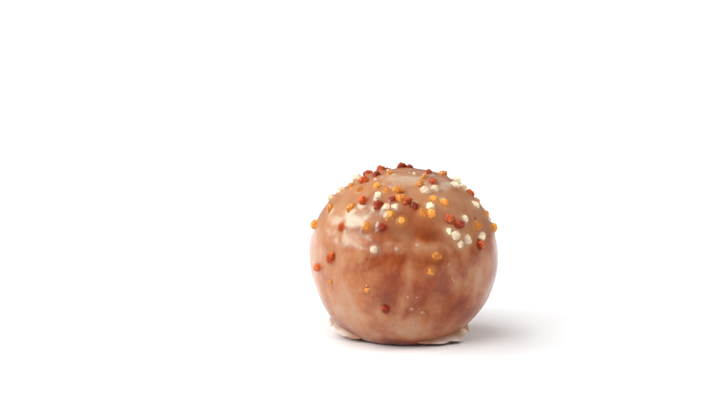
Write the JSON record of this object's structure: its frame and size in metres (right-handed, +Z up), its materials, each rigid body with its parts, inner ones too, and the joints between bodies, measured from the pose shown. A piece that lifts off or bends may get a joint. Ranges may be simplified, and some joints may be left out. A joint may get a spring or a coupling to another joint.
{
  "type": "doughnut hole",
  "caption": "Glazed ball of fried dough with a small flat spot underneath, sugar sprinkles stuck over its upper side and set feet of glaze round its base.",
  "frame": {"origin": "middle of the flat spot it rests on, under the middle of the ball", "axes": "+Z up from the flat spot to the sprinkled top; the side that the picture shows faces -Y, with +X to its right"},
  "size_m": [0.0359, 0.0364, 0.0328],
  "materials": {
    "glazed_dough": "satin",
    "set_glaze": "gloss",
    "dark_red_sprinkles": "satin",
    "red_sprinkles": "satin",
    "orange_sprinkles": "satin",
    "cream_sprinkles": "satin"
  },
  "bodies": {
    "root": {"doughnut_hole": "glazed_dough"}
  },
  "joints": []
}
